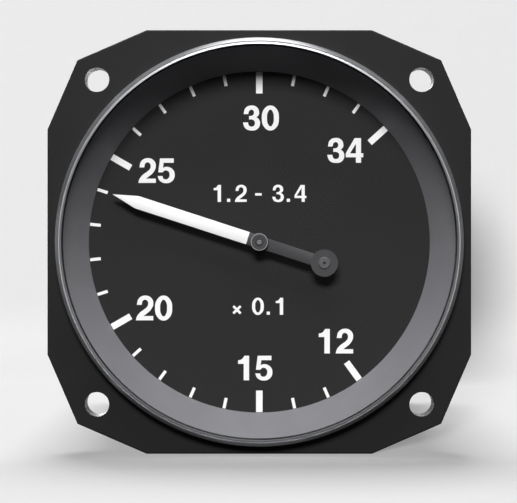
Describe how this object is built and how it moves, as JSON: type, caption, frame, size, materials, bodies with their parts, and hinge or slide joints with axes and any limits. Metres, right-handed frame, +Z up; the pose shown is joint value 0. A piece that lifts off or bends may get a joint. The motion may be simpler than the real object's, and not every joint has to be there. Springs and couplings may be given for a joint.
{
  "type": "engine pressure ratio indicator",
  "caption": "Round panel instrument: servo-driven pointer over a sweep dial behind glass, square front flange with corner holes, sealed case and rear connector.",
  "frame": {"origin": "on the instrument's axis, in the rear face of the mounting flange, which seats on the panel", "axes": "-Y is the way the dial faces, +Y goes back through the panel towards the connector, +Z is up with the highest dial numeral group, +X is to the right of the dial as it is read"},
  "size_m": [0.082, 0.1181, 0.082],
  "materials": {
    "flange_paint": "satin black enamel",
    "case_paint": "black crackle enamel",
    "bush_steel": "machined",
    "rim_metal": "bead-blasted satin",
    "glass": "polished",
    "rubber": "matt",
    "surround_paint": "matt grey-black",
    "dial_paint": "matt black",
    "pointer_paint": "matt white, tail dark grey",
    "hub_paint": "satin black",
    "shaft_steel": "ground",
    "gear_metal": "hobbed",
    "pinion_steel": "hobbed",
    "bearing_bronze": "reamed",
    "plate_metal": "chromate finish",
    "pillar_metal": "turned",
    "screw_steel": "passivated",
    "housing_steel": "passivated",
    "rotor_steel": "laminated",
    "board_laminate": "lacquered laminate",
    "winding": "enamelled wire",
    "can_metal": "plated",
    "resistor_paint": "lacquer",
    "block_plastic": "moulded",
    "connector_metal": "olive passivation",
    "pin_metal": "gold plated",
    "wire_sleeve": "laced bundle"
  },
  "bodies": {
    "case": {"mounting_flange": "flange_paint", "mounting_bushes": "bush_steel", "rim_ring": "rim_metal", "window_glass": "glass", "window_seal": "rubber", "dial_surround": "surround_paint", "dial_plate": "dial_paint", "dial_pin": "shaft_steel", "stop_post": "shaft_steel", "front_plate": "plate_metal", "middle_plate": "plate_metal", "gear_pillars": "pillar_metal", "long_pillars": "pillar_metal", "cover_pillars": "pillar_metal", "pointer_bearings": "bearing_bronze", "idler_bearings": "bearing_bronze", "front_plate_screws": "screw_steel", "clamp_screws": "screw_steel", "synchro_housing": "housing_steel", "synchro_cap": "housing_steel", "motor_housing": "housing_steel", "motor_cap": "housing_steel", "synchro_clamps": "screw_steel", "motor_clamps": "screw_steel", "circuit_board": "board_laminate", "transformer_core": "rotor_steel", "transformer_coil": "winding", "power_transistors": "can_metal", "filter_capacitors": "can_metal", "resistors": "resistor_paint", "terminal_block": "block_plastic", "case_tube": "case_paint", "flange_seal": "rubber", "rear_cover": "flange_paint", "cover_seal": "rubber", "cover_screws": "screw_steel", "connector_gasket": "rubber", "connector_shell": "connector_metal", "connector_insert": "block_plastic", "connector_pins": "pin_metal", "connector_screws": "screw_steel", "wire_loom": "wire_sleeve"},
    "pointer": {"pointer_arm": "pointer_paint", "pointer_hub": "hub_paint", "balance_disc": "hub_paint", "balance_rivet": "shaft_steel", "pointer_shaft": "shaft_steel", "main_gear": "gear_metal", "stop_sector": "pinion_steel"},
    "idler": {"idler_arbor": "shaft_steel", "idler_gear": "gear_metal", "idler_pinion": "pinion_steel"},
    "synchro": {"synchro_rotor": "rotor_steel", "synchro_gear": "gear_metal"},
    "motor": {"motor_rotor": "rotor_steel", "motor_pinion": "pinion_steel"}
  },
  "joints": [
    {"name": "pointer_turn", "type": "hinge", "parent": "case", "child": "pointer", "pos_m": [0, 0, 0], "axis": [0, 1, 0], "range_deg": [-144, 120]},
    {"name": "synchro_turn", "type": "hinge", "parent": "case", "child": "synchro", "pos_m": [-0.022, 0, 0], "axis": [0, 1, 0], "continuous": true},
    {"name": "idler_turn", "type": "hinge", "parent": "case", "child": "idler", "pos_m": [0.01299, 0, 0.0075], "axis": [0, 1, 0], "continuous": true},
    {"name": "motor_turn", "type": "hinge", "parent": "case", "child": "motor", "pos_m": [0.01812, 0, -0.0066], "axis": [0, 1, 0], "continuous": true}
  ],
  "couplings": [
    {"joint": "synchro_turn", "follows": "pointer_turn", "ratio": -1},
    {"joint": "idler_turn", "follows": "pointer_turn", "ratio": -2.75},
    {"joint": "motor_turn", "follows": "pointer_turn", "ratio": 7.5625}
  ]
}
